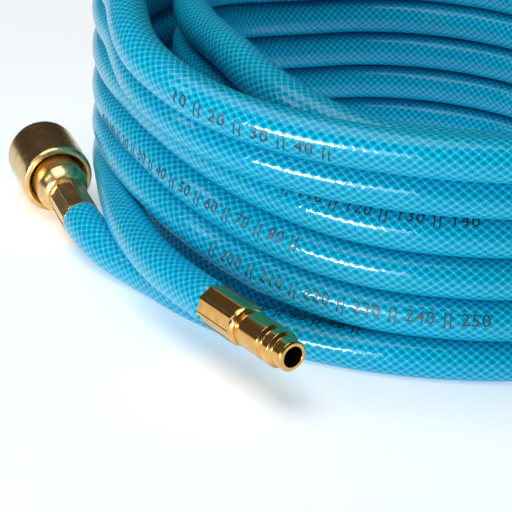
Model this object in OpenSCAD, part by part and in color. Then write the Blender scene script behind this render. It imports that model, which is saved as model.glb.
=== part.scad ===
// Coiled air hose: a braided hose wound into a flat coil, with a quick coupling
// on its first end and a plug on its last end. Millimetres. The coil's axis is
// Z and the coil lies on Z = 0. Each fitting has its own axis, on which a place
// is counted from the fitting's free face towards the hose.

/* [Hose] */
// Outside diameter of the hose
hose_d = 14; // [12:0.5:18]
// Middle radius of the outer column of turns
coil_r = 121; // [100:1:160]
// Gap between turns that lie on each other
level_gap = 0.4; // [0.2:0.1:2]
// Gap between turns that lie side by side
column_gap = 0.8; // [0.6:0.1:2]
// How far the outer column departs from a circle
coil_oval = 7; // [0:0.5:12]
// Heading of the oval's long axis, in degrees
oval_heading = -57.5; // [-90:0.5:90]
// How far outside the coil the first strand comes in
lead_in = 6; // [0:0.5:12]

/* [Fitting places] */
// Place of the coupling's free face round the coil, in degrees
coupling_angle = -91.1; // [-120:0.1:-60]
// How far the coupling's free face is outside the coil's radius
coupling_outside = 25.8; // [20:0.1:40]
// Height of the middle of the coupling's free face
coupling_z = 15.25; // [14:0.05:20]
// Heading of the coupling's axis, in degrees
coupling_heading = -62.9; // [-90:0.1:90]
// How far the coupling's axis dips towards the hose, in degrees
coupling_dip = 5; // [0:0.5:15]
// Place of the plug's free face round the coil, in degrees
plug_angle = -12.25; // [-30:0.05:10]
// How far the plug's free face is outside the coil's radius
plug_outside = 40.7; // [30:0.1:60]
// Height of the middle of the plug's free face
plug_z = 19; // [12:0.5:24]
// Heading of the plug's axis, in degrees
plug_heading = 131.7; // [90:0.1:180]

/* [Plug] */
// Diameter of the plug's nose
nose_d = 10; // [8:0.1:12]
// Length of the plug's nose
nose_len = 4.6; // [3:0.1:8]
// Diameter of the locking ridge and of the plug's body
ridge_d = 12.2; // [10:0.1:14]
// Length of the locking ridge
ridge_len = 2.7; // [1:0.1:4]
// Diameter at the bottom of the locking groove
groove_d = 9.8; // [7:0.1:11]
// Width of the locking groove's floor
groove_w = 1.1; // [0.8:0.1:3]
// Bore of the plug
plug_bore_d = 7; // [5:0.1:8]
// Length of the plug's body behind the groove
plug_body_len = 10; // [6:0.2:16]

/* [Coupling] */
// Diameter of the coupling's body
body_d = 16.6; // [15:0.1:20]
// Length of the coupling's body
body_len = 27; // [24:0.5:32]
// Place of the ring of locking balls
ball_w = 9; // [8:0.5:12]
// Diameter of a locking ball
ball_d = 3.2; // [2.5:0.1:4]
// How far the balls stand into the mouth
ball_reach = 0.9; // [0.5:0.05:1.3]
// Place of the step where the mouth narrows to the nose's bore
step_w = 14.4; // [12:0.1:15]
// Place of the valve's seat
seat_w = 19; // [17:0.5:22]
// Diameter of the valve's chamber
chamber_d = 14; // [12:0.1:15]

/* [Sleeve] */
// Outside diameter of the sleeve
sleeve_d = 26.6; // [24:0.1:30]
// Length of the sleeve
sleeve_len = 26.5; // [22:0.5:30]
// Length of the round at the sleeve's free end
sleeve_round = 4.5; // [2:0.5:6]
// Gap from the coupling's free face to the sleeve
sleeve_setback = 1; // [0.5:0.1:3]
// Travel of the sleeve towards the hose
sleeve_travel = 4.2; // [3.5:0.1:5]
// Rise of the sleeve's ball ramp for each millimetre of travel
ramp_rise = 0.244; // [0.2:0.002:0.3]
// Wire of the sleeve's spring
sleeve_wire_d = 0.6; // [0.4:0.05:0.8]

/* [Tail] */
// Diameter of the tail's shoulder
shoulder_d = 19.2; // [18:0.1:22]
// Length of the tail's shoulder, past the body's end
shoulder_len = 7; // [5:0.1:10]
// Diameter at the small end of the tail's dome
dome_end_d = 13.8; // [12:0.1:18]
// Length of the tail's dome
dome_len = 4.8; // [3:0.1:10]
// Bore of both hose stems
stem_bore_d = 6; // [4:0.1:7]

/* [Ferrules] */
// Length of a ferrule
ferrule_len = 19.2; // [16:0.1:26]
// Width of a ferrule over the corners of its eight crimped flats
ferrule_d = 13.9; // [13:0.1:17]
// Width of the ribs that the crimp leaves on the corners
crimp_rib = 1.1; // [0.6:0.1:2]
// How far the flats are turned round the ferrule, in degrees
crimp_turn = 36; // [0:1:45]
// Bore of a ferrule
ferrule_bore_d = 11.4; // [10:0.1:14]
// Thickness of the ferrule's end wall
ferrule_wall_t = 1.4; // [1:0.1:2]

/* [Fits] */
// Radial clearance of a piece that slides or turns on another
slide_fit = 0.06; // [0.02:0.01:0.1]
// Radial clearance of the plug in the coupling
plug_fit = 0.1; // [0.05:0.01:0.3]
// Clearance of pieces that are seated on each other
seat_fit = 0.02; // [0.01:0.01:0.05]

/* [Hidden] */
$fn = 64;
hose_r = hose_d / 2;
level_step = hose_d + level_gap;
column_step = hose_d + column_gap;
bed_z = hose_r - hose_d / 10;

// The winding, one row for each turn: its slot at the front, at the back and
// at the left, and how far it slumps at the front left. A slot is a column,
// counted inwards, and a level, counted upwards.
TURNS = [
    [[0, 1], [0, 1], [1, 1], [0, 0]],
    [[1, 1], [1, 1], [2, 1], [0, 0]],
    [[2, 1], [2, 1], [2, 2], [0, 0]],
    [[2, 2], [2, 2], [2, 3], [0, 0]],
    [[2, 3], [2, 3], [2, 4], [0, 0]],
    [[2, 4], [2, 4], [2, 5], [0, 0]],
    [[2, 5], [2, 5], [2, 6], [0, 0.2]],
    [[1, 5.5], [0, 7], [0, 7], [-0.75, -0.12]],
    [[-0.5, 5.95], [0, 6], [0, 6], [-0.6, -0.1]],
    [[-0.2, 5], [0, 5], [0, 5], [0, 0]],
    [[0, 4], [0, 4], [0, 4], [0, 0]],
    [[0, 3], [0, 3], [0, 3], [0, 0]],
    [[0, 2], [0, 2], [0, 2], [0, 0]],
];
coil_rings = 310;
coil_start = -44;
coil_end = 12 * 360 + 282;

// Route of each free stretch, from its fitting to the coil: the angle round the
// coil, the column and the level of each point.
coupling_route = [[-62.488, -0.954, 1.225], [-56.61, -0.768, 1.098], [-48.57, -0.474, 1.012]];
plug_route = [
    [-32.4, -1.31, 1.93],
    [-39.8, -1.076, 1.972],
    [-47.6, -0.812, 2.035],
    [-55.55, -0.539, 2.062],
    [-64.6, -0.241, 2.035],
];

body_r = body_d / 2;
nose_r = nose_d / 2;
ridge_r = ridge_d / 2;
ball_r = ball_d / 2;
mouth_r = ridge_r + 2 * plug_fit;
nose_bore_r = nose_r + plug_fit / 2;
chamber_r = chamber_d / 2;
ball_rest_r = mouth_r - ball_reach + ball_r;
ball_angles = [45, 135, 225, 315];
hole_flare = 0.18;
hole_mouth_r = ball_r - slide_fit;
guide_w = ball_w - ball_r - 0.1;
relief_r = mouth_r + 0.25;

snap_w = 3.4;
snap_t = 1.2;
snap_groove_r = body_r - 0.7;

seal_w = step_w + 1.2;
seal_groove_w = 1.8;
seal_cord_r = 0.8;
seal_inner_r = nose_r + 0.01;
seal_groove_r = seal_inner_r + 2 * seal_cord_r + seat_fit;

land_r = body_r + slide_fit;
ramp_r = ball_rest_r + (ball_r + 2.5 * slide_fit);
ramp_end_w = ball_w + (ramp_r - land_r) / ramp_rise;
cavity_r = ramp_r + 1.45;
ramp_start_w = ball_w - (cavity_r - ramp_r) / ramp_rise;
land_end_w = ramp_end_w + 2;
sleeve_r = sleeve_d / 2;
sleeve_end_w = sleeve_setback + sleeve_len;
shoulder_r = shoulder_d / 2;
rear_bore_r = shoulder_r + 0.4;

washer_t = 1;
tail_w = seat_w + 1;
socket_end_w = body_len + washer_t;
tail_chamber_r = chamber_r - 1;
tail_chamber_end_w = socket_end_w + 4;
shoulder_end_w = body_len + shoulder_len;
dome_end_w = shoulder_end_w + dome_len;
dome_end_r = dome_end_d / 2;
coupling_ferrule_w = dome_end_w + 0.2;

pusher_w = seat_w - 2.8;
poppet_head_w = seat_w + 0.8;
poppet_head_t = 2;
poppet_back_w = poppet_head_w + poppet_head_t;
pusher_r = nose_r - 0.7;

hose_crimp_r = ferrule_bore_d / 2 - seat_fit;
hose_crimp_bore_r = hose_crimp_r - 1.12;
barb_r = hose_crimp_bore_r * cos(15) - seat_fit;
stem_r = barb_r - 0.4;
neck_r = ferrule_bore_d / 2 - 0.1;
stem_len = ferrule_len - 1.5;

ridge_w = nose_len + 1;
groove_floor_w = ridge_w + ridge_len + 0.8;
plug_body_w = groove_floor_w + groove_w + 1;
plug_body_end_w = plug_body_w + plug_body_len;
plug_ferrule_w = plug_body_end_w + 1.8;
plug_neck_r = nose_r - 0.1;

hose_blue = [0.02, 0.56, 0.74];
brass = [0.8, 0.64, 0.36];
steel = [0.75, 0.76, 0.78];
rubber = [0.08, 0.08, 0.09];
nylon = [0.9, 0.9, 0.86];

function unit(v) = v / norm(v);

// 0 up to one angle, 1 from another, and a smooth rise between.
function ease(u, from, to) = (1 - cos(180 * min(max((u - from) / (to - from), 0), 1))) / 2;

// A value that goes from one slot of a turn to the next round the turn.
function round_turn(u, front, back, left, next, slump, right, rear) =
    front + (back - front) * ease(u, right[0], right[1])
    + (left - back) * ease(u, rear[0], rear[1])
    + (next - left) * ease(u, 292, 358)
    + slump * (ease(u, 288, 318) - ease(u, 322, 358));

// Column and level of the hose, by the angle wound so far. 0 is the front.
function slot(a) =
    let (k = min(max(floor(a / 360), 0), len(TURNS) - 1))
    let (t = TURNS[k], u = a - 360 * k, next = TURNS[min(k + 1, len(TURNS) - 1)][0])
    [
        round_turn(u, t[0][0], t[1][0], t[2][0], next[0], t[3][0], [75, 160], [235, 290]),
        round_turn(u, t[0][1], t[1][1], t[2][1], next[1], t[3][1], [20, 110], [205, 275]),
    ];

// The hose's middle at an angle round the coil, in a column and on a level.
function slot_point(a, column, level, outside = 0) =
    let (oval = coil_oval * cos(2 * (a - 90 - oval_heading)))
    let (r = coil_r - column_step * column + oval + outside)
    [r * sin(a), -r * cos(a), bed_z + level_step * (level - 1)];

function coil_point(a) =
    let (s = slot(a))
    slot_point(a, s[0], s[1], lead_in * (1 - ease(a, coil_start, coil_start + 60)));

function coil_dir(a) = unit(coil_point(a + 0.5) - coil_point(a - 0.5));

// Points round one station [place, direction, radius], flat where it lies.
function ring(station, sides) =
    let (side = unit(cross([0, 0, 1], station[1])), up = cross(station[1], side))
    [
        for (k = [0:sides - 1])
            let (t = 360 * k / sides)
            let (q = station[0] + station[2] * (cos(t) * side + sin(t) * up))
            [q[0], q[1], max(q[2], 0)]
    ];

// One closed tube through its stations, in triangles.
module tube(stations, sides) {
    last = len(stations) - 1;
    points = [for (s = stations) each ring(s, sides)];
    walls = [
        for (i = [0:last - 1], k = [0:sides - 1])
            let (a = i * sides + k, b = i * sides + (k + 1) % sides)
            each [[a, a + sides, b + sides], [a, b + sides, b]]
    ];
    first_cap = [for (k = [1:sides - 2]) [0, k, k + 1]];
    last_cap = [for (k = [1:sides - 2]) [last * sides, last * sides + k + 1, last * sides + k]];
    polyhedron(points = points, faces = concat(walls, first_cap, last_cap));
}

coil_stations = [
    for (i = [0:coil_rings])
        let (a = coil_start + (coil_end - coil_start) * i / coil_rings)
        [coil_point(a), coil_dir(a), hose_r]
];

// Least gap between points of strands that lie next to each other.
function least_gap(stations, sides, apart) =
    let (rings = [for (s = stations) ring(s, sides)], n = len(stations))
    min([
        for (i = [0:n - 1 - apart], j = [i + apart:n - 1])
            if (norm(stations[i][0] - stations[j][0]) < hose_d + 4)
                for (p = rings[i], q = rings[j]) norm(p - q)
    ]);

// A place beside the coil, by its angle, its distance outside and its height.
function beside_coil(a, outside, z) = [
    (coil_r + outside) * sin(a), -(coil_r + outside) * cos(a), z
];

// Direction from a fitting's free face to its hose.
function fitting_dir(dip, heading) = [
    cos(dip) * cos(heading), cos(dip) * sin(heading), -sin(dip)
];

coupling_at = beside_coil(coupling_angle, coupling_outside, coupling_z);
coupling_dir = fitting_dir(coupling_dip, coupling_heading);
plug_at = beside_coil(plug_angle, plug_outside, plug_z);
plug_dir = fitting_dir(0, plug_heading);

// A hose end: the bore round the stem, the crimped end, the hose's own size
// from the ferrule's mouth, then its route to the coil.
function hose_end(at, dir, ferrule_w, route, coil_at, coil_heading) =
    let (mouth_w = ferrule_w + ferrule_len, mouth = at + dir * mouth_w)
    let (slots = [for (p = route) slot_point(p[0], p[1], p[2])])
    let (path = concat([mouth], slots, [coil_at]))
    concat(
        [
            [mouth - dir * 0.6, dir, hose_crimp_bore_r],
            [at + dir * (ferrule_w + ferrule_wall_t + 0.2), dir, hose_crimp_bore_r],
            [at + dir * (ferrule_w + ferrule_wall_t + 0.2), dir, hose_crimp_r],
            [mouth + dir * seat_fit, dir, hose_crimp_r],
            [mouth + dir * 0.6, dir, hose_r],
        ],
        [for (i = [1:len(route)]) [path[i], unit(path[i + 1] - path[i - 1]), hose_r]],
        [[coil_at, coil_heading, hose_r]]
    );

// Places a fitting that is drawn along Z.
module place(at, dip, heading) {
    translate(at) rotate([0, 90 + dip, heading]) children();
}

module on_coupling() {
    place(coupling_at, coupling_dip, coupling_heading) children();
}

module on_plug() {
    place(plug_at, 0, plug_heading) children();
}

module turned(profile) {
    rotate_extrude() polygon(profile);
}

module hose_coil() {
    color(hose_blue) tube(coil_stations, 6);
    echo(str("least gap of the coil to itself: ", least_gap(coil_stations, 6, 12), " mm"));
}

module hose_coupling_end() {
    color(hose_blue)
        tube(hose_end(coupling_at, coupling_dir, coupling_ferrule_w, coupling_route,
            coil_point(coil_start), coil_dir(coil_start)), 12);
}

module hose_plug_end() {
    color(hose_blue)
        tube(hose_end(plug_at, plug_dir, plug_ferrule_w, plug_route,
            coil_point(coil_end), -coil_dir(coil_end)), 12);
}

// The tube that guides the plug, with a tapered hole for each ball.
module coupling_body() {
    color(brass) on_coupling() difference() {
        turned([
            [mouth_r + 0.5, 0],
            [body_r - 0.4, 0],
            [body_r, 0.4],
            [body_r, snap_w],
            [snap_groove_r, snap_w],
            [snap_groove_r, snap_w + snap_t],
            [body_r, snap_w + snap_t],
            [body_r, body_len],
            [chamber_r, body_len],
            [chamber_r, seat_w],
            [nose_bore_r, seat_w],
            [nose_bore_r, seal_w + seal_groove_w],
            [seal_groove_r, seal_w + seal_groove_w],
            [seal_groove_r, seal_w],
            [nose_bore_r, seal_w],
            [nose_bore_r, step_w],
            [relief_r, step_w],
            [relief_r, guide_w],
            [mouth_r, guide_w],
            [mouth_r, 0.5],
        ]);
        for (t = ball_angles) {
            rotate([0, 0, t]) translate([mouth_r - 0.5, 0, ball_w]) rotate([0, 90, 0])
                cylinder(
                    h = body_r - mouth_r + 1,
                    r1 = hole_mouth_r - 0.5 * hole_flare,
                    r2 = hole_mouth_r + (body_r - mouth_r + 0.5) * hole_flare
                );
        }
    }
}

// The dome's outline, from the shoulder's sharp edge to the neck.
function dome_point(t) = [
    dome_end_r + (shoulder_r - dome_end_r) * (cos(t) - cos(80)) / (cos(30) - cos(80)),
    shoulder_end_w + dome_len * (sin(t) - sin(30)) / (sin(80) - sin(30))
];

// Barbs along a stem: each is sharp on the fitting's side.
function barbs(from, len, count) = [
    for (i = [0:count - 1])
        each [[barb_r, from + len * i / count], [stem_r, from + len * (i + 1) / count]]
];

// Socket for the body, valve chamber, dome, neck and barbed stem in one piece.
module coupling_tail() {
    neck_end_w = coupling_ferrule_w + ferrule_wall_t;
    tip_w = coupling_ferrule_w + stem_len;
    color(brass) on_coupling() turned(concat(
        [
            [body_r, tail_w],
            [shoulder_r - 0.3, tail_w],
            [shoulder_r, tail_w + 0.3],
        ],
        [for (t = [30:10:80]) dome_point(t)],
        [[neck_r, dome_end_w], [neck_r, neck_end_w]],
        barbs(neck_end_w, tip_w - neck_end_w, 4),
        [
            [stem_bore_d / 2, tip_w],
            [stem_bore_d / 2, tail_chamber_end_w],
            [tail_chamber_r, tail_chamber_end_w],
            [tail_chamber_r, socket_end_w],
            [body_r, socket_end_w],
        ]
    ));
}

module tail_washer() {
    color(nylon) on_coupling() turned([
        [chamber_r + 0.1, body_len],
        [body_r - 0.1, body_len],
        [body_r - 0.1, socket_end_w],
        [chamber_r + 0.1, socket_end_w],
    ]);
}

// A tube crimped to eight flats with a rib on each corner. It isn't crimped at
// its closed end, which is rounded.
module ferrule(from) {
    round_end_r = ferrule_d / 2 - 0.05;
    round_len = 2;
    crimp_w = 1;
    crimp_len = ferrule_len - crimp_w;
    translate([0, 0, from]) difference() {
        union() {
            turned(concat(
                [[0, 0]],
                [
                    for (t = [-90:22.5:0])
                        [neck_r + (round_end_r - neck_r) * cos(t), round_len * (1 + sin(t))]
                ],
                [[0, round_len]]
            ));
            rotate([0, 0, crimp_turn]) translate([0, 0, crimp_w])
                cylinder(h = crimp_len, d = ferrule_d, $fn = 8);
            for (t = [0:45:315]) {
                rotate([0, 0, crimp_turn + t])
                    translate([neck_r, -crimp_rib / 2, round_len - 0.1])
                        cube([ferrule_d / 2 + 0.05 - neck_r, crimp_rib, ferrule_len - round_len + 0.1]);
            }
        }
        translate([0, 0, -1]) cylinder(h = ferrule_len, r = neck_r + seat_fit);
        translate([0, 0, ferrule_wall_t]) cylinder(h = ferrule_len, d = ferrule_bore_d);
    }
}

module coupling_ferrule() {
    color(brass) on_coupling() ferrule(coupling_ferrule_w);
}

module plug_ferrule() {
    color(brass) on_plug() ferrule(plug_ferrule_w);
}

// Pulled towards the hose, its ramp lets the balls out of the plug's groove.
module locking_sleeve() {
    front_r = cavity_r + 0.5;
    rear_r = sleeve_r - 0.8;
    rear_len = 2;
    color(brass) on_coupling() turned(concat(
        [[cavity_r, sleeve_setback]],
        [
            for (t = [-90:15:0]) [
                front_r + (sleeve_r - front_r) * cos(t),
                sleeve_setback + sleeve_round * (1 + sin(t))
            ]
        ],
        [
            for (t = [0:15:75])
                [rear_r - 0.2 + (sleeve_r - rear_r + 0.2) * cos(t), sleeve_end_w - rear_len * (1 - sin(t))]
        ],
        [
            [rear_r - 0.4, sleeve_end_w],
            [rear_bore_r + 1.2, sleeve_end_w],
            [rear_bore_r, sleeve_end_w - 1.8],
            [rear_bore_r, land_end_w],
            [land_r, land_end_w],
            [land_r, ramp_end_w],
            [cavity_r, ramp_start_w],
        ]
    ));
}

// A spring along Z, as one tube of the wire's size.
module coil_spring(from, to, mean_r, wire_d, coils) {
    rise = to - from - wire_d;
    steps = coils * 12;
    at = [
        for (i = [0:steps])
            let (a = 360 * coils * i / steps)
            [mean_r * cos(a), mean_r * sin(a), from + wire_d / 2 + rise * i / steps]
    ];
    sides = 6;
    points = [
        for (i = [0:steps])
            let (a = 360 * coils * i / steps, out = [cos(a), sin(a), 0])
            for (k = [0:sides - 1])
                at[i] + wire_d / 2 * (cos(60 * k) * out + sin(60 * k) * [0, 0, 1])
    ];
    walls = [
        for (i = [0:steps - 1], k = [0:sides - 1])
            let (a = i * sides + k, b = i * sides + (k + 1) % sides)
            each [[a, b + sides, a + sides], [a, b, b + sides]]
    ];
    first_cap = [for (k = [1:sides - 2]) [0, k + 1, k]];
    last_cap = [for (k = [1:sides - 2]) [steps * sides, steps * sides + k, steps * sides + k + 1]];
    polyhedron(points = points, faces = concat(walls, first_cap, last_cap));
}

module sleeve_spring() {
    mean_r = (land_r + rear_bore_r) / 2;
    color(steel) on_coupling()
        coil_spring(land_end_w + 0.05, tail_w - 0.05, mean_r, sleeve_wire_d, 4);
}

// A split wire ring that stops the sleeve.
module snap_ring() {
    outer_r = ramp_r + ramp_rise * (ball_w - snap_w - snap_t) - 0.08;
    color(steel) on_coupling() difference() {
        turned([
            [snap_groove_r + seat_fit, snap_w + seat_fit],
            [outer_r, snap_w + seat_fit],
            [outer_r, snap_w + snap_t - seat_fit],
            [snap_groove_r + seat_fit, snap_w + snap_t - seat_fit],
        ]);
        translate([0, -0.8, snap_w - 1]) cube([sleeve_r, 1.6, snap_t + 2]);
    }
}

module locking_ball(i) {
    color(steel) on_coupling() rotate([0, 0, ball_angles[i]])
        translate([ball_rest_r, 0, ball_w]) sphere(r = ball_r);
}

module nose_seal() {
    color(rubber) on_coupling() translate([0, 0, seal_w + seal_groove_w / 2]) rotate_extrude()
        translate([seal_inner_r + seal_cord_r, 0]) circle(r = seal_cord_r);
}

// The plug's nose pushes the slotted tube, which lifts the head off its seat.
module valve_poppet() {
    color(brass) on_coupling() difference() {
        turned([
            [pusher_r - 0.9, pusher_w],
            [pusher_r, pusher_w],
            [pusher_r, poppet_head_w],
            [chamber_r - slide_fit, poppet_head_w],
            [chamber_r - slide_fit, poppet_back_w],
            [2, poppet_back_w],
            [2, poppet_back_w + 6],
            [0, poppet_back_w + 6],
            [0, seat_w],
            [pusher_r - 0.9, seat_w],
        ]);
        for (t = [0, 90]) {
            rotate([0, 0, t]) translate([-nose_r, -1, pusher_w + 0.8])
                cube([nose_d, 2, seat_w - pusher_w - 0.8]);
        }
        for (t = [0:60:300]) {
            rotate([0, 0, t]) translate([chamber_r, 0, poppet_head_w - 1])
                cylinder(h = poppet_head_t + 2, r = 1);
        }
    }
}

module valve_seal() {
    color(rubber) on_coupling() turned([
        [pusher_r + seat_fit, seat_w + 0.05],
        [chamber_r - 1.1, seat_w + 0.05],
        [chamber_r - 1.1, poppet_head_w],
        [pusher_r + seat_fit, poppet_head_w],
    ]);
}

module valve_spring() {
    color(steel) on_coupling()
        coil_spring(poppet_back_w + 0.05, tail_chamber_end_w - 0.05, tail_chamber_r - 1, 0.7, 5);
}

// Nose, locking ridge and groove, body, neck and barbed stem in one piece.
module plug_nipple() {
    neck_end_w = plug_ferrule_w + ferrule_wall_t;
    tip_w = plug_ferrule_w + stem_len;
    color(brass) on_plug() turned(concat(
        [
            [plug_bore_d / 2, 0],
            [nose_r - 0.5, 0],
            [nose_r, 0.5],
            [nose_r, nose_len],
            [ridge_r, ridge_w],
            [ridge_r, ridge_w + ridge_len],
            [groove_d / 2, groove_floor_w],
            [groove_d / 2, groove_floor_w + groove_w],
            [ridge_r, plug_body_w],
            [ridge_r, plug_body_end_w - 0.3],
            [ridge_r - 0.3, plug_body_end_w],
            [plug_neck_r, plug_body_end_w],
            [plug_neck_r, plug_ferrule_w - 0.4],
            [neck_r, plug_ferrule_w],
            [neck_r, neck_end_w],
        ],
        barbs(neck_end_w, tip_w - neck_end_w, 4),
        [
            [stem_bore_d / 2, tip_w],
            [stem_bore_d / 2, plug_body_end_w],
            [plug_bore_d / 2, plug_body_end_w - 0.8],
        ]
    ));
}

hose_coil();
hose_coupling_end();
hose_plug_end();
coupling_body();
coupling_tail();
coupling_ferrule();
tail_washer();
locking_sleeve();
sleeve_spring();
snap_ring();
locking_ball(0);  // locking_ball_1
locking_ball(1);  // locking_ball_2
locking_ball(2);  // locking_ball_3
locking_ball(3);  // locking_ball_4
nose_seal();
valve_poppet();
valve_seal();
valve_spring();
plug_nipple();
plug_ferrule();
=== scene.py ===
"""A coiled air hose with a quick coupling and a plug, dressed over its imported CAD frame."""
import math

import bmesh
import bpy
from mathutils import Matrix, Vector


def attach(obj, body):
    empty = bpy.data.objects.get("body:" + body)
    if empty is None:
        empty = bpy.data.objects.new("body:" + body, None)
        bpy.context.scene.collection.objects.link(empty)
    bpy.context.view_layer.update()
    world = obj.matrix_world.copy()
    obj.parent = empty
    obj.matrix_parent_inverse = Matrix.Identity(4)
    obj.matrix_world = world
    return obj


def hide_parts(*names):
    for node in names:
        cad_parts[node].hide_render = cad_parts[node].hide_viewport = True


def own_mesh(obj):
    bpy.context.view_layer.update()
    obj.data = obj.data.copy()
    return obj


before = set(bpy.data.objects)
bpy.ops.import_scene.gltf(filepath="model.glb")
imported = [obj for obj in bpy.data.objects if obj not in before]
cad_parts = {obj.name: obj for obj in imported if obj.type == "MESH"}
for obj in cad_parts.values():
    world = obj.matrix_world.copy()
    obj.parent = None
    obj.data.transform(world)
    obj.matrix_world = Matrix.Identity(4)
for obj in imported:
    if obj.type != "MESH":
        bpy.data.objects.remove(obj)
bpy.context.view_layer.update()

# ---------------------------------------------------------------- hose
# One length of soft PVC air hose over a braid of polyester thread, extruded,
# braided and coated, then wound by hand into a flat coil. It follows the same
# route as its solids, is pressed flat where it lies, and ends in two ferrules.

HOSE_D = 0.014
LEVEL_STEP = 0.0144
COLUMN_STEP = 0.0148
COIL_R = 0.121
BED_Z = 0.0056
COIL_OVAL = 0.007
OVAL_HEADING = -57.5
LEAD_IN = 0.006
LEAD_IN_TURN = 60
COIL_START = -44
COIL_END = 12 * 360 + 282

# Where on a turn, in degrees, the hose moves over: to its back slot on the right
# side, to its left slot at the rear, and on to the next turn's front slot. At
# the left some turns sink by their slump.
RIGHT_COLUMN, RIGHT_LEVEL = (75, 160), (20, 110)
REAR_COLUMN, REAR_LEVEL = (235, 290), (205, 275)
NEXT_TURN = (292, 358)
SLUMP_IN, SLUMP_OUT = (288, 318), (322, 358)

# Front, back and left slot of each turn as (column, level), and its slump.
TURNS = (
    ((0, 1), (0, 1), (1, 1), (0, 0)),
    ((1, 1), (1, 1), (2, 1), (0, 0)),
    ((2, 1), (2, 1), (2, 2), (0, 0)),
    ((2, 2), (2, 2), (2, 3), (0, 0)),
    ((2, 3), (2, 3), (2, 4), (0, 0)),
    ((2, 4), (2, 4), (2, 5), (0, 0)),
    ((2, 5), (2, 5), (2, 6), (0, 0.2)),
    ((1, 5.5), (0, 7), (0, 7), (-0.75, -0.12)),
    ((-0.5, 5.95), (0, 6), (0, 6), (-0.6, -0.1)),
    ((-0.2, 5), (0, 5), (0, 5), (0, 0)),
    ((0, 4), (0, 4), (0, 4), (0, 0)),
    ((0, 3), (0, 3), (0, 3), (0, 0)),
    ((0, 2), (0, 2), (0, 2), (0, 0)),
)


def ease(value, start, end):
    """0 up to start, 1 from end, and a smooth rise between."""
    t = min(max((value - start) / (end - start), 0), 1)
    return (1 - math.cos(math.pi * t)) / 2


def round_turn(u, front, back, left, following, slump, right_side, rear):
    """A value that goes from one slot of a turn to the next, by degrees round the turn."""
    return (
        front + (back - front) * ease(u, *right_side)
        + (left - back) * ease(u, *rear)
        + (following - left) * ease(u, *NEXT_TURN)
        + slump * (ease(u, *SLUMP_IN) - ease(u, *SLUMP_OUT))
    )


def slot_point(angle, column, height, outside=0.0):
    """The hose's middle at an angle round the coil, in a column and on a level."""
    oval = COIL_OVAL * math.cos(math.radians(2 * (angle - 90 - OVAL_HEADING)))
    r = COIL_R - COLUMN_STEP * column + oval + outside
    a = math.radians(angle)
    return Vector((r * math.sin(a), -r * math.cos(a), BED_Z + LEVEL_STEP * (height - 1)))


def coil_point(angle):
    """The hose's middle, by the angle wound so far. 0 is the coil's front."""
    turn = min(max(math.floor(angle / 360), 0), len(TURNS) - 1)
    front, back, left, slump = TURNS[turn]
    following = TURNS[min(turn + 1, len(TURNS) - 1)][0]
    u = angle - 360 * turn
    column = round_turn(
        u, front[0], back[0], left[0], following[0], slump[0], RIGHT_COLUMN, REAR_COLUMN
    )
    height = round_turn(
        u, front[1], back[1], left[1], following[1], slump[1], RIGHT_LEVEL, REAR_LEVEL
    )
    outside = LEAD_IN * (1 - ease(angle, COIL_START, COIL_START + LEAD_IN_TURN))
    return slot_point(angle, column, height, outside)


def beside_coil(angle, outside, z):
    """A place beside the coil, by its angle, its distance outside and its height."""
    a, r = math.radians(angle), COIL_R + outside
    return Vector((r * math.sin(a), -r * math.cos(a), z))


def heading(azimuth, dip):
    """Direction from a fitting's free face to its hose."""
    a, d = math.radians(azimuth), math.radians(dip)
    return Vector((math.cos(d) * math.cos(a), math.cos(d) * math.sin(a), -math.sin(d)))


def spline(points, steps):
    """A smooth line through all points but the first and the last."""
    line = []
    for p0, p1, p2, p3 in zip(points, points[1:], points[2:], points[3:]):
        for i in range(steps):
            t = i / steps
            line.append(0.5 * (
                2 * p1 + (p2 - p0) * t
                + (2 * p0 - 5 * p1 + 4 * p2 - p3) * t * t
                + (3 * p1 - 3 * p2 + p3 - p0) * t ** 3
            ))
    return line


# Each fitting: the middle of its free face, the direction to its hose and how
# far along that its ferrule's mouth is. Then the points of its free stretch, by
# angle round the coil, column and level.
COUPLING_AT = beside_coil(-91.1, 0.0258, 0.01525)
COUPLING_DIR = heading(-62.9, 5)
COUPLING_MOUTH = 0.0582
PLUG_AT = beside_coil(-12.25, 0.0407, 0.019)
PLUG_DIR = heading(131.7, 0)
PLUG_MOUTH = 0.0422
COUPLING_ROUTE = (
    (-62.488, -0.954, 1.225),
    (-56.61, -0.768, 1.098),
    (-48.57, -0.474, 1.012),
)
PLUG_ROUTE = (
    (-32.4, -1.31, 1.93),
    (-39.8, -1.076, 1.972),
    (-47.6, -0.812, 2.035),
    (-55.55, -0.539, 2.062),
    (-64.6, -0.241, 2.035),
)
STRETCH_STEPS = 6
BLEND_IN = 6


def free_stretch(mouth, direction, slots, coil_at, coil_next):
    """From a ferrule's mouth, which it leaves along its axis, to the coil."""
    points = [slot_point(*slot) for slot in slots]
    before = points[0] - 2 * (points[0] - mouth).length * direction
    return spline([before, mouth] + points + [coil_at, coil_next], STRETCH_STEPS)


coupling_mouth = COUPLING_AT + COUPLING_MOUTH * COUPLING_DIR
plug_mouth = PLUG_AT + PLUG_MOUTH * PLUG_DIR
coupling_stretch = free_stretch(
    coupling_mouth, COUPLING_DIR, COUPLING_ROUTE,
    coil_point(COIL_START), coil_point(COIL_START + BLEND_IN),
)
plug_stretch = free_stretch(
    plug_mouth, PLUG_DIR, PLUG_ROUTE, coil_point(COIL_END), coil_point(COIL_END - BLEND_IN)
)
COIL_STEP = 2
route = (
    coupling_stretch
    + [coil_point(a) for a in range(COIL_START, COIL_END, COIL_STEP)]
    + [coil_point(COIL_END)]
    + plug_stretch[::-1]
)


def srgb(code):
    """'#00b8dc' as a linear colour with alpha."""
    parts = [int(code[i:i + 2], 16) / 255 for i in (1, 3, 5)]
    return (*[c / 12.92 if c <= 0.04045 else ((c + 0.055) / 1.055) ** 2.4 for c in parts], 1)


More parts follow.
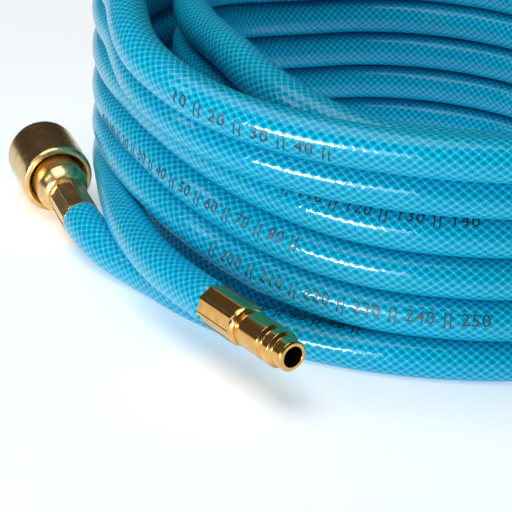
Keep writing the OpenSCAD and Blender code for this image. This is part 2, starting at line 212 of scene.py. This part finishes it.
def add(tree, kind, settings=(), **inputs):
    """A shader node. An input, named or numbered as i0, is a value or what feeds it."""
    made = tree.nodes.new("ShaderNode" + kind)
    for name, value in dict(settings).items():
        setattr(made, name, value)
    for name, value in inputs.items():
        key = int(name[1:]) if name[0] == "i" and name[1:].isdigit() else name.replace("_", " ")
        if isinstance(value, bpy.types.Node):
            value = value.outputs[0]
        if isinstance(value, bpy.types.NodeSocket):
            tree.links.new(value, made.inputs[key])
        else:
            made.inputs[key].default_value = value
    return made


def finish_of(name, **values):
    """A new material, its node tree and its shader, with the values the shader starts from."""
    made = bpy.data.materials.new(name)
    made.use_nodes = True
    shader = made.node_tree.nodes["Principled BSDF"]
    for key, value in values.items():
        shader.inputs[key.replace("_", " ")].default_value = value
    return made, made.node_tree, shader


# Clear blue PVC, extruded over the braid, so it has a wet gloss with long
# glints. Sixteen threads cross sixteen others under it: they look pale, the
# openings between them look deep blue, and they ripple the skin a little. The
# plastic is faintly cloudy, with clouds about 2 mm across.
THREADS = 16
THREAD_PERIOD = 0.0032
THREAD_HEIGHT = 0.0003
CLOUDS_OVER_COIL = 140.0

braided_pvc, tree, shader = finish_of(
    "clear_blue_pvc_over_polyester_braid",
    Roughness=0.35, IOR=1.53, Specular_Tint=srgb("#0095c8"),
    Coat_Weight=0.4, Coat_Roughness=0.04, Coat_IOR=1.53,
)
place = add(tree, "UVMap", {"uv_map": "hose"})
parts = add(tree, "SeparateXYZ", Vector=place)
along = add(
    tree, "Math", {"operation": "MULTIPLY"}, i0=parts.outputs[0], i1=2 * math.pi / THREAD_PERIOD
)
around = add(
    tree, "Math", {"operation": "MULTIPLY"}, i0=parts.outputs[1], i1=2 * math.pi * THREADS
)
waves = []
threads = []
for turn in (1, -1):
    phase = add(tree, "Math", {"operation": "MULTIPLY_ADD"}, i0=around, i1=turn, i2=along)
    waves.append(add(tree, "Math", {"operation": "COSINE"}, i0=phase))
    threads.append(add(
        tree, "MapRange", {"interpolation_type": "SMOOTHSTEP"},
        Value=waves[-1], From_Min=0.2, From_Max=1.0,
    ))
braid = add(tree, "Math", {"operation": "MAXIMUM"}, i0=threads[0], i1=threads[1])
knots = add(tree, "Math", {"operation": "MULTIPLY"}, i0=threads[0], i1=threads[1])
both = add(tree, "Math", {"operation": "ADD"}, i0=waves[0], i1=waves[1])
openings = add(
    tree, "MapRange", {"interpolation_type": "SMOOTHSTEP"},
    Value=both, From_Min=-0.7, From_Max=-1.9,
)
cloudy = add(tree, "TexNoise", Scale=CLOUDS_OVER_COIL, Detail=3.0)
tinted = add(
    tree, "Mix", {"data_type": "RGBA"}, i0=cloudy, i6=srgb("#009fcf"), i7=srgb("#00acd8"),
)
opened = add(
    tree, "Mix", {"data_type": "RGBA"}, i0=openings, i6=tinted.outputs[2], i7=srgb("#007cb6"),
)
threaded = add(
    tree, "Mix", {"data_type": "RGBA"}, i0=braid, i6=opened.outputs[2], i7=srgb("#08c4e4"),
)
knotted = add(
    tree, "Mix", {"data_type": "RGBA"}, i0=knots, i6=threaded.outputs[2], i7=srgb("#58e0f4"),
)
tree.links.new(knotted.outputs[2], shader.inputs["Base Color"])
raised = add(tree, "Math", {"operation": "MULTIPLY_ADD"}, i0=knots, i1=0.4, i2=braid)
relief = add(tree, "Bump", Strength=0.6, Distance=THREAD_HEIGHT, Height=raised)
tree.links.new(relief.outputs[0], shader.inputs["Normal"])
skin = add(tree, "Bump", Strength=0.07, Distance=THREAD_HEIGHT, Height=raised)
tree.links.new(skin.outputs[0], shader.inputs["Coat Normal"])

HOSE_SIDES = 40
CRIMPED_R = 0.0056
CRIMP_RUN = 0.0008
HIDDEN_RUN = 0.004
MOUTH_RUN = 0.0002
CLEAR_RUN = 0.0012


def tangents(line):
    """The line's direction at each of its points."""
    last = len(line) - 1
    return [(line[min(i + 1, last)] - line[max(i - 1, 0)]).normalized() for i in range(last + 1)]


def lengths(line):
    """Distance along the line to each of its points."""
    total = [0.0]
    for a, b in zip(line, line[1:]):
        total.append(total[-1] + (b - a).length)
    return total


def across(direction):
    """Sideways and upwards, square to the hose."""
    side = Vector((0, 0, 1)).cross(direction).normalized()
    return side, direction.cross(side)


def make_tube(name, line, radii, sides):
    """A tube along a line, with its length and its turn in the map 'hose'."""
    run = lengths(line)
    vertices = []
    for point, direction, radius in zip(line, tangents(line), radii):
        side, lift = across(direction)
        for k in range(sides):
            a = 2 * math.pi * k / sides
            spot = point + radius * (math.cos(a) * side + math.sin(a) * lift)
            spot.z = max(spot.z, 0.0)
            vertices.append(spot)
    faces = [
        (
            i * sides + k, i * sides + (k + 1) % sides,
            (i + 1) * sides + (k + 1) % sides, (i + 1) * sides + k,
        )
        for i in range(len(line) - 1) for k in range(sides)
    ]
    mesh = bpy.data.meshes.new(name)
    mesh.from_pydata(vertices, [], faces)
    turns = mesh.uv_layers.new(name="hose")
    corners = ((0, 0), (0, 1), (1, 1), (1, 0))
    for face in mesh.polygons:
        ring, k = divmod(face.index, sides)
        for corner, (dring, dk) in zip(face.loop_indices, corners):
            turns.data[corner].uv = (run[ring + dring], (k + dk) / sides)
    mesh.polygons.foreach_set("use_smooth", [True] * len(mesh.polygons))
    made = bpy.data.objects.new(name, mesh)
    bpy.context.scene.collection.objects.link(made)
    return made


# The hose is narrow in each ferrule and swells to its own size at the mouth.
clear_of_mouths = [
    p for p in route[1:-1]
    if (p - coupling_mouth).length > CLEAR_RUN and (p - plug_mouth).length > CLEAR_RUN
]
hose_line = (
    [coupling_mouth + run * COUPLING_DIR for run in (-HIDDEN_RUN, -MOUTH_RUN, CRIMP_RUN)]
    + clear_of_mouths
    + [plug_mouth + run * PLUG_DIR for run in (CRIMP_RUN, -MOUTH_RUN, -HIDDEN_RUN)]
)
hose_radii = (
    [CRIMPED_R, CRIMPED_R]
    + [HOSE_D / 2] * (len(hose_line) - 4)
    + [CRIMPED_R, CRIMPED_R]
)
hose = make_tube("braided_hose", hose_line, hose_radii, HOSE_SIDES)
hose.data.materials.append(braided_pvc)
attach(hose, "hose")
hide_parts("hose_coil", "hose_coupling_end", "hose_plug_end")

# ---------------------------------------------------------------- print
# Rows of plain figures and ticks on the hose's skin, rolled on in black ink as
# it is extruded. Each row slowly turns round the hose as the hose twists.

# Matt printing ink: near black, with a little of the blue in it, and speckled
# too finely to see one by one.
SPECKLES_OVER_ROW = 1500.0
black_ink, tree, shader = finish_of("black_printing_ink", Roughness=0.5, IOR=1.5)
speckle = add(tree, "TexNoise", Scale=SPECKLES_OVER_ROW, Detail=2.0)
tone = add(tree, "Mix", {"data_type": "RGBA"}, i0=speckle, i6=srgb("#08202e"), i7=srgb("#0d3950"))
tree.links.new(tone.outputs[2], shader.inputs["Base Color"])

FIGURE_SIZE = 0.0056
FIGURE_SPACING = 1.12
FIGURE_STRIPS = 12
INK_GAP = 0.00005
INK_T = 0.00003
SAME_PLACE = 1e-7

# Each row: where it starts round the coil, its height on the hose's side at
# its start and one TILT_RUN on, all in degrees, and its figures.
TILT_RUN = 0.1
ROWS = (
    (2845, 5, -33, "10 || 20 || 30 || 40 ||"),
    (3572, 52, 60, "|| 100 || 110 || 120 || 130 || 140"),
    (3890.5, -15, 22, "0 || 10 || 20 || 30 || 40 || 50 || 60 || 70 || 80 ||"),
    (4287, 13, 20, "|| 200 || 210 || 220 || 230 || 240 || 250"),
    (-24.5, 90, 92, "70 || 80 || 90 ||"),
)


def on_hose(spot, start, low, high):
    """Takes a place in flat print, x along the row and y up, to the hose's side."""
    angle = start + math.degrees(spot.x / (COIL_R + COIL_OVAL))
    direction = (coil_point(angle + 0.5) - coil_point(angle - 0.5)).normalized()
    side, lift = across(direction)
    tilt = math.radians(low + (high - low) * spot.x / TILT_RUN) + 2 * spot.y / HOSE_D
    outwards = math.sin(tilt) * lift - math.cos(tilt) * side
    return coil_point(angle) + (HOSE_D / 2 + INK_GAP + spot.z) * outwards


for row, (start, low, high, figures) in enumerate(ROWS, 1):
    letters = bpy.data.curves.new("figures", "FONT")
    letters.body = figures
    letters.size = FIGURE_SIZE
    letters.space_character = FIGURE_SPACING
    letters.resolution_u = 3
    letters.extrude = INK_T / 2
    letters.align_y = "CENTER"
    flat = bpy.data.objects.new("figures", letters)
    bpy.context.scene.collection.objects.link(flat)
    bpy.context.view_layer.update()
    ready = bpy.context.evaluated_depsgraph_get()
    mesh = bpy.data.meshes.new_from_object(flat.evaluated_get(ready))
    bpy.data.objects.remove(flat)
    form = bmesh.new()
    form.from_mesh(mesh)
    bmesh.ops.remove_doubles(form, verts=form.verts, dist=SAME_PLACE)
    for strip in range(1, FIGURE_STRIPS):
        height = FIGURE_SIZE * (strip / FIGURE_STRIPS - 0.5)
        bmesh.ops.bisect_plane(
            form, geom=form.verts[:] + form.edges[:] + form.faces[:], dist=SAME_PLACE,
            plane_co=(0, height, 0), plane_no=(0, 1, 0),
        )
    for vertex in form.verts:
        vertex.co = on_hose(vertex.co.copy(), start, low, high)
    form.to_mesh(mesh)
    form.free()
    made = bpy.data.objects.new("print_row_%d" % row, mesh)
    bpy.context.scene.collection.objects.link(made)
    mesh.materials.clear()
    mesh.materials.append(black_ink)
    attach(made, "hose")

# ---------------------------------------------------------------- coupling
# The quick coupling's shell: body, sliding sleeve, tail and ferrule. They are
# turned from brass bar and satin plated. The body is seated in the tail's
# socket, and the ferrule is crimped on the hose over the tail's stem.

# Tones change over about 4 mm. The relief of the grain is the same on all.
TONES_PER_METRE = 260.0
GRAIN_HEIGHT = 0.00004


def turned_metal(name, light, dark, roughness, grain, edge):
    """Turned metal of two tones, with the lathe's fine grain and broken edges."""
    made, tree, shader = finish_of(name, Metallic=1.0)
    spot = add(tree, "TexCoord")
    cloud = add(tree, "TexNoise", Vector=spot.outputs["Object"], Scale=TONES_PER_METRE, Detail=4.0)
    tone = add(tree, "MapRange", Value=cloud, From_Min=0.35, From_Max=0.7)
    colour = add(tree, "Mix", {"data_type": "RGBA"}, i0=tone, i6=srgb(light), i7=srgb(dark))
    tree.links.new(colour.outputs[2], shader.inputs["Base Color"])
    rough = add(
        tree, "MapRange", Value=cloud, From_Min=0.3, From_Max=0.7,
        To_Min=roughness * 0.85, To_Max=roughness * 1.25,
    )
    tree.links.new(rough.outputs[0], shader.inputs["Roughness"])
    lines = add(tree, "TexNoise", Vector=spot.outputs["Object"], Scale=grain, Detail=2.0)
    edges = add(tree, "Bevel", {"samples": 6}, Radius=edge)
    relief = add(tree, "Bump", Strength=0.1, Distance=GRAIN_HEIGHT, Height=lines, Normal=edges)
    tree.links.new(relief.outputs[0], shader.inputs["Normal"])
    return made


def dress(finish, *names):
    """Gives pieces of the frame their finish."""
    for name in names:
        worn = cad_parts[name].data.materials
        worn.clear()
        worn.append(finish)


# Brass with a thin satin nickel-tinted plating: paler than bare brass, and
# its reflections are broad and soft. The lathe's marks are drawn 0.4 mm wide,
# about twice their real size, so that they show.
LATHE_GRAIN = 2400.0
BROKEN_EDGE = 0.00025
satin_brass = turned_metal(
    "satin_plated_brass", "#e6c890", "#d4b074", 0.24, LATHE_GRAIN, BROKEN_EDGE
)
dress(satin_brass, "coupling_body", "coupling_tail", "coupling_ferrule", "locking_sleeve")

# ---------------------------------------------------------------- plug and valve
# The grooved plug and its crimped ferrule, and the valve inside the coupling.
# They are turned from brass bar and left bare. The plug's stem is barbed.

# Bare brass fresh from the lathe: warm, with hard light and dark bands.
bright_brass = turned_metal(
    "bright_turned_brass", "#e6b870", "#d6a25a", 0.17, LATHE_GRAIN, BROKEN_EDGE
)
dress(bright_brass, "plug_nipple", "plug_ferrule", "valve_poppet")

# ---------------------------------------------------------------- springs
# The sleeve's spring, the valve's spring and the ring that stops the sleeve,
# all of drawn wire. Each spring gets its own copy of its mesh.

# Drawn spring steel: grey, with a dull shine and the die's fine marks.
DRAWN_GRAIN = 3000.0
WIRE_EDGE = 0.00008
spring_wire = turned_metal(
    "drawn_spring_steel", "#9c9c9e", "#7f8083", 0.3, DRAWN_GRAIN, WIRE_EDGE
)
dress(spring_wire, "sleeve_spring", "snap_ring", "valve_spring")

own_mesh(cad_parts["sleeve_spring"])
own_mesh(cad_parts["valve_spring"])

# ---------------------------------------------------------------- balls
# Four hardened steel balls in tapered holes of the body. The sleeve holds them
# in the plug's groove until it is pulled back.

# Ground and polished bearing steel: nearly a mirror.
GROUND_GRAIN = 1500.0
BALL_EDGE = 0.00005
ball_steel = turned_metal(
    "polished_ball_steel", "#d8d9dc", "#c8cacd", 0.08, GROUND_GRAIN, BALL_EDGE
)
dress(ball_steel, "locking_ball_1", "locking_ball_2", "locking_ball_3", "locking_ball_4")

# ---------------------------------------------------------------- seals
# The ring round the plug's nose and the washer on the valve's face, moulded of
# nitrile rubber and pressed into their seats.

# Moulded rubber: near black and dull, with a bloom too fine to see.
BLOOM_OVER_SEAL = 900.0
seal_rubber, tree, shader = finish_of("moulded_nitrile_rubber", Roughness=0.5, IOR=1.52)
spot = add(tree, "TexNoise", Scale=BLOOM_OVER_SEAL, Detail=2.0)
tone = add(tree, "Mix", {"data_type": "RGBA"}, i0=spot, i6=srgb("#141415"), i7=srgb("#26272a"))
tree.links.new(tone.outputs[2], shader.inputs["Base Color"])
dress(seal_rubber, "nose_seal", "valve_seal")

# ---------------------------------------------------------------- washer
# A flat nylon ring between the body and the tail, stamped from sheet and
# clamped as the tail goes on.

# Natural nylon: milky white and slightly uneven, with a slight shine.
CLOUDS_OVER_WASHER = 500.0
white_nylon, tree, shader = finish_of("stamped_natural_nylon", Roughness=0.45, IOR=1.53)
spot = add(tree, "TexNoise", Scale=CLOUDS_OVER_WASHER, Detail=2.0)
tone = add(tree, "Mix", {"data_type": "RGBA"}, i0=spot, i6=srgb("#e6e4da"), i7=srgb("#d9d6c8"))
tree.links.new(tone.outputs[2], shader.inputs["Base Color"])
dress(white_nylon, "tail_washer")

# ---------------------------------------------------------------- floor
# A plain pale sheet that runs on past the view, with the coil lying on it. It
# is opal acrylic, lit a little from below.

FLOOR_REACH = 6
FLOOR_DROP = 0.0002

floor_mesh = bpy.data.meshes.new("floor")
floor_mesh.from_pydata(
    [(x * FLOOR_REACH, y * FLOOR_REACH, 0) for x, y in ((-1, -1), (1, -1), (1, 1), (-1, 1))],
    [], [(0, 1, 2, 3)],
)
floor = bpy.data.objects.new("floor", floor_mesh)
floor.location.z = -FLOOR_DROP
bpy.context.scene.collection.objects.link(floor)

# Matt opal acrylic: white with a trace of blue, without gloss. Its clouds are
# 0.4 m across and hardly seen.
CLOUDS_OVER_FLOOR = 30.0
pale_floor, tree, shader = finish_of(
    "matt_opal_acrylic", Roughness=0.8, IOR=1.49, Emission_Strength=0.36
)
speckle = add(tree, "TexNoise", Scale=CLOUDS_OVER_FLOOR, Detail=2.0)
tone = add(tree, "Mix", {"data_type": "RGBA"}, i0=speckle, i6=srgb("#f3f6f9"), i7=srgb("#f5f8fa"))
tree.links.new(tone.outputs[2], shader.inputs["Base Color"])
tree.links.new(tone.outputs[2], shader.inputs["Emission Color"])
floor_mesh.materials.append(pale_floor)

# ---------------------------------------------------------------- lights
# Soft boxes: a broad one over the coil, a dim one at its left, a low one in
# front, and a narrow one at the front left that gives the long glints.


def softbox(name, place, target, size, watts, lights_matt=True):
    """A white area light. One that leaves matt surfaces alone shows only as a reflection."""
    light = bpy.data.lights.new(name, "AREA")
    light.shape = "RECTANGLE"
    light.size, light.size_y = size
    light.energy = watts
    made = bpy.data.objects.new(name, light)
    made.location = place
    made.rotation_euler = (Vector(target) - Vector(place)).to_track_quat("-Z", "Y").to_euler()
    made.visible_diffuse = lights_matt
    bpy.context.scene.collection.objects.link(made)


COIL_FRONT = (-0.03, -0.13, 0.04)
softbox("top_box", (-0.35, -0.15, 1.35), (0, 0.05, 0), (1.3, 1.0), 12.5)
softbox("left_box", (-1.1, -0.3, 0.7), (0, 0, 0.05), (0.2, 0.5), 1.5)
softbox("low_box", (-0.45, -1.15, 0.2), COIL_FRONT, (0.45, 0.3), 4.5)
softbox("front_box", (-0.53, -0.92, 0.11), COIL_FRONT, (0.38, 0.13), 14, lights_matt=False)

# A dark warm room round the soft boxes.
world = bpy.data.worlds.new("studio")
world.use_nodes = True
world.node_tree.nodes["Background"].inputs["Color"].default_value = srgb("#8a8078")
world.node_tree.nodes["Background"].inputs["Strength"].default_value = 0.2
bpy.context.scene.world = world
bpy.context.scene.view_settings.view_transform = "Standard"

# ---------------------------------------------------------------- camera
# It stands in front of the coil and above it, straight before its axis. It looks
# down, turned five degrees towards the fittings and rolled by two degrees.

CAMERA_Y = -0.66168
CAMERA_Z = 0.28538
LENS_MM = 132.94
SENSOR_MM = 36
CLIP_START = 0.01
camera_yaw = math.radians(5.3)
camera_pitch = math.radians(24.81)
camera_roll = math.radians(2.21)
forward = Vector((
    -math.sin(camera_yaw) * math.cos(camera_pitch),
    math.cos(camera_yaw) * math.cos(camera_pitch),
    -math.sin(camera_pitch),
))
level = Vector((math.cos(camera_yaw), math.sin(camera_yaw), 0))
right = level * math.cos(camera_roll) + level.cross(forward) * math.sin(camera_roll)
up = right.cross(forward)

camera = bpy.data.objects.new("camera", bpy.data.cameras.new("camera"))
camera.data.lens = LENS_MM
camera.data.sensor_width = SENSOR_MM
camera.data.clip_start = CLIP_START
camera.matrix_world = Matrix((
    (right.x, up.x, -forward.x, 0),
    (right.y, up.y, -forward.y, CAMERA_Y),
    (right.z, up.z, -forward.z, CAMERA_Z),
    (0, 0, 0, 1),
))
bpy.context.scene.collection.objects.link(camera)
bpy.context.scene.camera = camera
